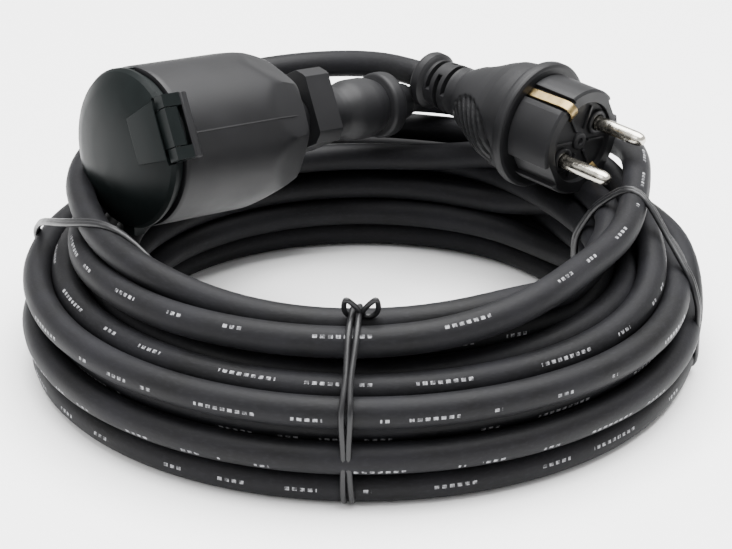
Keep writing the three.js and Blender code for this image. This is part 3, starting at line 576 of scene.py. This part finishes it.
def shoulder_skin(x, r, bearings):
    """The barrel's skin: round in front, easing into eight flats, with the flash line standing proud."""
    if r <= BARREL_BORE - 5 or x > SHOULDER_END + 0.1:
        return np.full(len(bearings), float(r))
    slope = (BARREL_RADIUS - SHOULDER_FLAT) / (SHOULDER_END - SHOULDER_START)
    flat = BARREL_RADIUS + 0.25 + slope * (SHOULDER_START - x)
    off = (bearings + 22.5) % 45 - 22.5
    eight = flat / np.cos(np.radians(off))
    skin = (float(r) ** -CORNER_SHARPNESS + eight ** -CORNER_SHARPNESS) ** (-1 / CORNER_SHARPNESS)
    if x > 1 and r > BARREL_BORE + 1:
        skin = skin + FLASH_HEIGHT * np.exp(-((bearings - FLASH_ANGLE) / 0.5) ** 2)
    return np.minimum(skin, r + FLASH_HEIGHT)


# Injection-moulded rubber from a spark-eroded mould: a soft dark grey-black that scatters light evenly,
# with a fine even grain and slightly paler clouds where it has been rubbed.
moulded, tree, shader, place = new_finish("moulded_rubber", IOR=1.5, Specular_IOR_Level=0.21)
cloud = add_node(tree, "ShaderNodeTexNoise", Vector=place, Scale=per_metre(14), Detail=4)
cloud_finish(tree, shader, cloud.outputs[0], "0f0f10", "19191b", 0.42, 0.54)
spark = add_node(tree, "ShaderNodeTexNoise", Vector=place, Scale=per_metre(0.45), Detail=3, Roughness=0.6)
skin = add_node(tree, "ShaderNodeBump", Height=spark.outputs[0], Strength=0.2, Distance=0.06 * MM)
tree.links.new(skin.outputs[0], shader.inputs["Normal"])

shell = turned_piece("coupler_shell", [
    (0, BARREL_BORE), (0, BARREL_RADIUS - 0.9), (0.3, BARREL_RADIUS - 0.25), (1, BARREL_RADIUS),
    (41, BARREL_RADIUS), (45, BARREL_RADIUS - 0.4), (49, BARREL_RADIUS - 1.2), (52.5, SHOULDER_REAR + 2.6),
    (54, SHOULDER_REAR + 1.7), (54.8, SHOULDER_REAR + 0.9), (SHOULDER_END, SHOULDER_REAR),
    (SHOULDER_END, SHOULDER_REAR - 1), (58, 11.2), (60, 8.4), (62, 8.2), (CLAMP_END - 0.3, 8.2),
    (CLAMP_END - 0.3, NECK_BORE), (54, NECK_BORE), (51, 9), (45, 15.6), (41, 19.6), (INSERT_SEAT, 19.6),
    (INSERT_SEAT, BARREL_BORE)], coupler, skin=shoulder_skin, closed=True,
    extra=[FLASH_ANGLE + d for d in (-1.1, -0.7, -0.35, 0, 0.35, 0.7, 1.1)])
finish_piece(shell, moulded, "cord", "body_rubber", "coupler_body")

# Lid and its frame: the frame is clipped into the barrel's mouth, and a sprung domed lid
# of hard nylon hangs on it by a steel pin across two lugs.


def refined(name, node, bevel, angle=28):
    """A new piece from a node's own shape, its flat faces joined, its edges rounded and its curves smooth."""
    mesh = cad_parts[node].data.copy()
    mesh.name = name
    mesh.materials.clear()
    work = bmesh.new()
    work.from_mesh(mesh)
    bmesh.ops.remove_doubles(work, verts=work.verts, dist=2e-6)
    bmesh.ops.dissolve_limit(work, angle_limit=math.radians(1), verts=work.verts, edges=work.edges)
    bmesh.ops.triangulate(work, faces=[f for f in work.faces if len(f.verts) > 4])
    bmesh.ops.join_triangles(work, faces=work.faces, angle_face_threshold=math.radians(2),
                             angle_shape_threshold=math.radians(60))
    piece = smooth_piece(name, work, mesh, angle)
    round_edges(piece, bevel, angle, harden=True)
    return piece


# Glass-filled nylon from a polished mould: hard, blue-black and smooth, so that its dome holds one wide
# reflection.
nylon, tree, shader, place = new_finish("polished_nylon", IOR=1.53, Specular_IOR_Level=0.06)
flow = add_node(tree, "ShaderNodeTexNoise", Vector=place, Scale=per_metre(9), Detail=5, Distortion=0.6)
cloud_finish(tree, shader, flow.outputs[0], "0b0e0e", "141818", 0.33, 0.43)
speck = add_node(tree, "ShaderNodeTexNoise", Vector=place, Scale=per_metre(0.6), Detail=2)
skin = add_node(tree, "ShaderNodeBump", Height=speck.outputs[0], Strength=0.1, Distance=0.03 * MM)
tree.links.new(skin.outputs[0], shader.inputs["Normal"])

finish_piece(refined("mouth_frame", "lid_frame", 0.45), nylon, "cord", "hard_black", "lid_frame")
finish_piece(refined("domed_lid", "coupler_lid", 0.4), nylon, "lid", "hard_black", "coupler_lid")

# Hinge hood and lid ramp: a rubber hood, moulded with the shell, closes the hinge from behind,
# and a flat nylon ramp, moulded with the lid, runs from the hinge to the dome.


def prism(name, outline, width, transform, taper=1.0, bevel=0.5):
    """An outline of (along, up) points drawn out to a width, its edges rounded; taper narrows its low end."""
    low = min(z for _, z in outline)
    high = max(z for _, z in outline)
    work = bmesh.new()
    ends = []
    for side in (-1, 1):
        end = []
        for x, z in outline:
            y = side * width / 2 * (taper + (1 - taper) * (z - low) / (high - low))
            end.append(work.verts.new(transform @ Vector((x, y, z))))
        ends.append(end)
    count = len(outline)
    for k in range(count):
        work.faces.new((ends[0][k], ends[0][(k + 1) % count], ends[1][(k + 1) % count], ends[1][k]))
    work.faces.new(ends[0])
    work.faces.new(ends[1][::-1])
    bmesh.ops.recalc_face_normals(work, faces=work.faces)
    piece = smooth_piece(name, work, bpy.data.meshes.new(name), 38)
    round_edges(piece, bevel, 38, segments=3)
    return piece


hood = prism("hinge_hood", [(0.1, 28.4), (0.7, 28.9), (2, 28.7), (3.4, 27.9), (4.4, 26.4), (4.6, 25), (1, 25),
                            (0.95, 26.5), (0.55, 27.6)], 21, coupler, bevel=0.25)
finish_piece(hood, moulded, "cord", "hard_black")
ramp = prism("lid_ramp", [(-7.95, 24.2), (-8.6, 21), (-9.1, 16), (-9.3, 11), (-8.7, 11), (-7, 18),
                          (-6.6, 21), (-7.5, 22.6), (-7.5, 24.2)], 19, coupler, taper=0.8, bevel=0.2)
finish_piece(ramp, nylon, "lid", "hard_black")

# Sealing ring: a soft rubber ring under the lid, which keeps water out of the shut socket.
# Sealing rubber is softer and duller than the shell, with a dusty look.
sealing, tree, shader, place = new_finish("sealing_rubber", IOR=1.5, Roughness=0.75)
dust = add_node(tree, "ShaderNodeTexNoise", Vector=place, Scale=per_metre(1.2), Detail=4)
cloud_finish(tree, shader, dust.outputs[0], "202022", "38383a")
skin = add_node(tree, "ShaderNodeBump", Height=dust.outputs[0], Strength=0.3, Distance=0.1 * MM)
tree.links.new(skin.outputs[0], shader.inputs["Normal"])
finish_piece(refined("sealing_ring", "lid_seal", 0.5), sealing, "lid", "seal_rubber", "lid_seal")

# Cord clamp and bend sleeve: a two-hole rubber-covered block is screwed tight across the neck, and a
# flexible sleeve with a raised collar carries on from it, so that the cable can't kink where it leaves.
SLEEVE_START = 77.3
finish_piece(refined("cord_clamp", "clamp_block", 0.9), moulded, "cord", "body_rubber", "clamp_block")
sleeve = turned_piece("ribbed_sleeve", [(SLEEVE_START + along, radius) for along, radius in (
    (0, NECK_BORE), (0, 8.6), (0.5, 9), (3, 8.6), (5.5, 8.5), (8, 8.8), (9.6, 9.5), (11, 10.2), (12.5, 10.6),
    (14, 10.75), (20, 10.75), (22, 10.4), (25, 9.4), (25.8, 8.9), (26.1, 9.6), (26.5, 11), (27.2, 11.5),
    (28.4, 11.6), (30.4, 11.6), (31.4, 11.4), (32.1, 10.6), (32.4, 9), (32.8, 7.5), (36, 6.9), (39.9, 6.3),
    (40.5, 6.1), (40.7, 5.7), (40.7, NECK_BORE))], coupler, sides=96, step=0.8, closed=True, sharp=40)
finish_piece(sleeve, moulded, "cord", "body_rubber", "bend_sleeve")

# Screws, hinge pin and lid spring: small zinc-plated steel parts, pressed or screwed in.
# Zinc on steel is a bright grey with a faint yellow cast, in soft cloudy patches.
zinc, tree, shader, place = new_finish("zinc_plated_steel", Metallic=1.0)
plating = add_node(tree, "ShaderNodeTexNoise", Vector=place, Scale=per_metre(1.5), Detail=4)
cloud_finish(tree, shader, plating.outputs[0], "a9aaa6", "c9c8c0", 0.26, 0.42)
finish_piece(refined("clamp_screw_bright", "clamp_screw", 0.15), zinc, "cord", "steel", "clamp_screw")
for name in ("hinge_pin", "lid_spring", "line_terminal_screw", "neutral_terminal_screw",
             "earth_terminal_screw", "carrier_screw"):
    coat(zinc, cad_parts[name])

# Socket insert, inside the shell: a hard carrier holds two drawn brass sleeves and the earth bracket,
# each with a terminal screw. Drawn brass is a warm yellow with brown tarnish in soft clouds, half polished.
brass, tree, shader, place = new_finish("drawn_brass", Metallic=1.0)
tarnish = add_node(tree, "ShaderNodeTexNoise", Vector=place, Scale=per_metre(2.4), Detail=4)
cloud_finish(tree, shader, tarnish.outputs[0], "5d4b2c", "a8946a", 0.22, 0.4)
for name in ("line_contact", "neutral_contact", "earth_bracket"):
    coat(brass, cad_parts[name])
coat(nylon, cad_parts["contact_carrier"])

# Cores: three PVC-covered copper wires at each end of the cable, run from the terminals back to the
# sheath, whose stripped end shows behind them. The earth core has a second colour wound along it.
# Each core's colour and the colour of its bands, which on brown and blue is only a shade lighter.
CORE_COLOURS = {"brown": ("6b3f22", "70452a"), "blue": ("2b57a8", "2f5cae"), "earth": ("3f8f3a", "d8cf2a")}


def core_finish(name, base, stripe):
    """PVC core insulation: satin and evenly coloured, with a second colour in bands along it."""
    material, tree, shader, place = new_finish(name, IOR=1.53, Roughness=0.4)
    mottle = add_node(tree, "ShaderNodeTexNoise", Vector=place, Scale=per_metre(2), Detail=2)
    band = add_node(tree, "ShaderNodeTexWave", {"wave_profile": "SAW"}, Vector=place, Scale=per_metre(14),
                    Distortion=0.5)
    share = add_node(tree, "ShaderNodeMath", {"operation": "GREATER_THAN"}, _0=band.outputs[1], _1=0.5)
    two = add_node(tree, "ShaderNodeMix", {"data_type": "RGBA"}, _0=share.outputs[0], _6=linear(base),
                   _7=linear(stripe))
    dull = add_node(tree, "ShaderNodeMix", {"data_type": "RGBA", "blend_type": "MULTIPLY"}, _0=0.3,
                    _6=two.outputs[2], _7=mottle.outputs[1])
    tree.links.new(dull.outputs[2], shader.inputs["Base Color"])
    return material


for colour, (base, stripe) in CORE_COLOURS.items():
    insulation = core_finish(f"pvc_core_{colour}", base, stripe)
    coat(insulation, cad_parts[f"coupler_core_{colour}"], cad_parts[f"plug_core_{colour}"])
coat(sheath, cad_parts["coupler_cable_end"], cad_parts["plug_cable_end"])

# Plug handle: one piece of rubber moulded round the pins' tails and the cable, with a flange to push on,
# a flattened grip with slanting grooves on each side, and a slotted boot that lets the cable bend.
HANDLE_START = 17.5
FLANGE_RADIUS = 22
FLANGE_END = 22
BOOT_START = 55
PLUG_END = 72
BELLY = (23, 30)                # where the handle swells to its sides, and how long the swelling is
BELLY_DEPTH = 2.1
GRIP_MIDDLE = 37
GRIP_HALF_LENGTH = 12.5
GRIP_HALF_WIDTH = 12
GRIP_SIDES = (192, 348)
GRIP_DEPTH = 0.55
GROOVE_DEPTH = 1.15
GRIP_PITCH = 3.3
GRIP_SLANT = math.radians(33)
SLOT_WIDTH = 1.5
SLOT_STARTS = (56.2, 60, 63.8)
SLOT_FLOOR = 6.4
plug = frame_at(PLUG_PLACE, PLUG_TURN)


def handle_skin(x, r, bearings):
    """The handle's skin with its grips pressed in and grooved, and its boot slotted in staggered halves."""
    skin = np.full(len(bearings), float(r))
    if r < 6.2:
        return skin
    swelling = math.sin(math.pi * min(max((x - BELLY[0]) / BELLY[1], 0), 1))
    skin += BELLY_DEPTH * swelling * np.cos(np.radians(bearings)) ** 2
    for middle in GRIP_SIDES:
        arc = np.radians((bearings - middle + 180) % 360 - 180) * r
        outness = ((x - GRIP_MIDDLE) / GRIP_HALF_LENGTH) ** 2 + (arc / GRIP_HALF_WIDTH) ** 2
        inside = 1 - ease(outness, 0.8, 1.05)
        lean = arc if middle == GRIP_SIDES[0] else -arc
        across = (x - GRIP_MIDDLE) * math.cos(GRIP_SLANT) - lean * math.sin(GRIP_SLANT)
        groove = 1 - ease(np.abs((across + GRIP_PITCH / 2) % GRIP_PITCH - GRIP_PITCH / 2), 0.35, 0.85)
        skin -= inside * (GRIP_DEPTH + GROOVE_DEPTH * groove)
    for number, start in enumerate(SLOT_STARTS):
        if start <= x <= start + SLOT_WIDTH:
            for middle in (10, 190) if number % 2 else (100, 280):
                off = np.abs((bearings - middle + 180) % 360 - 180)
                skin -= (1 - ease(off, 62, 68)) * np.maximum(r - SLOT_FLOOR, 0)
    return skin


slot_edges = []
for start in SLOT_STARTS:
    slot_edges += [start, start + 0.02, start + SLOT_WIDTH, start + SLOT_WIDTH + 0.02]
slotted = [(x, 9.1 - (x - BOOT_START) * 0.07) for x in slot_edges]
boot = [(BOOT_START, 8.9), *slotted, (66.6, 8.3), (67.2, 9.2), (68, 10), (70.6, 10.05), (71.4, 9.7),
        (71.9, 8.8), (PLUG_END, 8), (PLUG_END, NECK_BORE), (66, NECK_BORE), (66, 0)]
handle = turned_piece("plug_handle", [
    (HANDLE_START, 0), (HANDLE_START, 20.6), (17.9, 21.6), (18.6, FLANGE_RADIUS), (20.6, FLANGE_RADIUS),
    (21.5, 21.7), (FLANGE_END, 20.8), (22.3, 19.6), (23.4, 18.8), (27, 18.5), (31, 17.9), (35, 16.4),
    (39, 14.6), (43, 13), (47, 11.4), (50, 10.1), (52, 9.1), *boot], plug, skin=handle_skin, sides=200,
    step=0.5, sharp=36)
finish_piece(handle, moulded, "cord", "body_rubber", "plug_body")

# Plug nose: the hard round front that enters the socket, with a guide notch at each side, a flat top
# and bottom for the earth strip, and moulded rims and ribs round the pins in its sunken face.
NOSE_FACE = 2
ROOTED = NOSE_FACE + 0.1        # the rims and ribs start this little way inside the face
PIN_ASIDE = 9.5
finish_piece(refined("plug_front", "plug_nose", 0.35), moulded, "cord", "hard_black", "plug_nose")


def face_rib(name, transform, spin):
    """A small rib on the sunken face, between the middle boss and the rim, turned about the plug's axis."""
    turn = transform @ Matrix.Rotation(math.radians(spin), 4, "X")
    work = bmesh.new()
    verts = [work.verts.new(turn @ Vector((x, y, z)))
             for x in (NOSE_FACE - 0.9, ROOTED) for y in (4.4, 12.6) for z in (-0.45, 0.45)]
    for quad in ((0, 1, 3, 2), (4, 6, 7, 5), (0, 4, 5, 1), (2, 3, 7, 6), (0, 2, 6, 4), (1, 5, 7, 3)):
        work.faces.new([verts[i] for i in quad])
    bmesh.ops.recalc_face_normals(work, faces=work.faces)
    bmesh.ops.bevel(work, geom=list(work.edges), offset=0.18 * MM, segments=2, affect="EDGES", profile=0.5)
    return smooth_piece(name, work, bpy.data.meshes.new(name), 40)


rims = []
for side in (-1, 1):
    rims.append(turned_piece(f"pin_collar{side}", [
        (ROOTED, 2.75), (NOSE_FACE - 1, 2.75), (NOSE_FACE - 1.2, 3), (NOSE_FACE - 1.2, 4),
        (NOSE_FACE - 1, 4.3), (ROOTED, 4.3)], plug @ Matrix.Translation((0, side * PIN_ASIDE, 0)), sides=48,
        closed=True, sharp=40))
rims.append(turned_piece("middle_boss", [
    (ROOTED, 0), (ROOTED, 3.2), (NOSE_FACE - 0.7, 3), (NOSE_FACE - 0.9, 2.6), (NOSE_FACE - 0.9, 1.3),
    (NOSE_FACE - 0.3, 1.1), (NOSE_FACE - 0.3, 0)], plug, sides=40, sharp=40))
for number, spin in enumerate((38, 90, 142, 218, 270, 322)):
    rims.append(face_rib(f"face_rib{number}", plug, spin))
finish_piece(joined("front_mould_work", rims), moulded, "cord", "hard_black")

# Pins: two solid brass pins 4.8 mm thick, turned with domed tips, nickel plated and moulded into the nose.
# Bright nickel is a warm white metal with a few duller clouds where it has rubbed in sockets.
PIN_TIP = -19
PIN_TAIL = 29
PIN_RADIUS = 2.4
nickel, tree, shader, place = new_finish("nickel_plated_brass", Metallic=1.0)
rubbed = add_node(tree, "ShaderNodeTexNoise", Vector=place, Scale=per_metre(1.8), Detail=4, Roughness=0.7)
cloud_finish(tree, shader, rubbed.outputs[0], "b5b0a4", "e2ded3", 0.14, 0.3)
for name, side in (("line_pin", 1), ("neutral_pin", -1)):
    rod = turned_piece(f"{name}_rod", [
        (PIN_TIP, 0), (PIN_TIP, 0.5), (-18.8, 1.1), (-18.3, 1.6), (-17.6, 2), (-16.6, 2.28),
        (-15.4, PIN_RADIUS), (PIN_TAIL, PIN_RADIUS), (PIN_TAIL, 0)],
        plug @ Matrix.Translation((0, side * PIN_ASIDE, 0)), sides=64, step=0.8, sharp=40)
    finish_piece(rod, nickel, "cord", "nickel", name)

# Earth strip: a bent spring-brass strap, 3.4 mm wide, that hugs the nose on both flats, bows out to press
# on the socket's earth springs, and curls in over the front edge on each side.
STRIP_WIDE = 3.4
STRIP_THICK = 0.9
FLAT_REACH = 16.9
half_strip = [(17.9, 0.5), (17.9, FLAT_REACH - 1.2), (17.4, FLAT_REACH + 0.2), (16, FLAT_REACH + 0.3),
              (11, FLAT_REACH + 0.5), (6, FLAT_REACH + 0.7), (2, FLAT_REACH + 0.8), (0.2, FLAT_REACH + 0.4),
              (-0.7, FLAT_REACH - 0.6), (-0.9, FLAT_REACH - 2), (-0.3, FLAT_REACH - 3.6),
              (1.1, FLAT_REACH - 5.4)]


def strip_piece(name, line, transform):
    """A flat strip that follows a line of (along, up) points, with its edges eased."""
    p = np.array(line, float)
    along = np.gradient(p, axis=0)
    along /= np.linalg.norm(along, axis=1)[:, None]
    out = np.stack([along[:, 1], -along[:, 0]], axis=1)
    work = bmesh.new()
    rings = []
    for centre, normal in zip(p, out):
        ring = []
        for y, t in ((-STRIP_WIDE / 2, 0), (-STRIP_WIDE / 2, 1), (STRIP_WIDE / 2, 1), (STRIP_WIDE / 2, 0)):
            x, z = centre + normal * STRIP_THICK * (t - 0.5)
            ring.append(work.verts.new(transform @ Vector((x, y, z))))
        rings.append(ring)
    for a, b in zip(rings, rings[1:]):
        for k in range(4):
            work.faces.new((a[k], a[(k + 1) % 4], b[(k + 1) % 4], b[k]))
    work.faces.new(rings[0][::-1])
    work.faces.new(rings[-1])
    bmesh.ops.recalc_face_normals(work, faces=work.faces)
    piece = smooth_piece(name, work, bpy.data.meshes.new(name), 35)
    round_edges(piece, 0.22, 40)
    return piece


leg = smooth_points([(x, 0, z) for x, z in half_strip], 0.6)[:, (0, 2)]
strip = strip_piece("earth_strip", np.vstack([leg[::-1], leg * (1, -1)]), plug)
finish_piece(strip, brass, "cord", "brass", "earth_strap")

# Floor and studio light: matt white paper under one broad overhead softbox and a smaller one at the left.
# The paper lies just below the object, and the white studio round it lights every side.
FLOOR_REACH = 6
FLOOR_DROP = 0.0003
floor_mesh = bpy.data.meshes.new("floor")
floor_mesh.from_pydata([(x * FLOOR_REACH, y * FLOOR_REACH, -FLOOR_DROP)
                        for x, y in ((-1, -1), (1, -1), (1, 1), (-1, 1))], [], [(0, 1, 2, 3)])
floor = add_piece("floor", floor_mesh)
paper, tree, shader, place = new_finish("matt_paper", Roughness=0.95, Specular_IOR_Level=0.0)
fibre = add_node(tree, "ShaderNodeTexNoise", Vector=place, Scale=per_metre(1.5), Detail=2)
cloud_finish(tree, shader, fibre.outputs[0], "fbfbfb", "ffffff")
coat(paper, floor)

world = bpy.data.worlds.new("studio")
bpy.context.scene.world = world
world.use_nodes = True
world.node_tree.nodes["Background"].inputs["Color"].default_value = (1, 1, 1, 1)
world.node_tree.nodes["Background"].inputs["Strength"].default_value = 1.0
for name, place, size, power in (("top_light", (0.1, 0.15, 1.3), 1.5, 100),
                                 ("left_light", (-1.0, -0.7, 0.9), 0.7, 7)):
    light = bpy.data.lights.new(name, "AREA")
    light.size = size
    light.energy = power
    lamp = add_piece(name, light)
    lamp.location = place
    lamp.rotation_euler = (-Vector(place)).to_track_quat("-Z", "Y").to_euler()
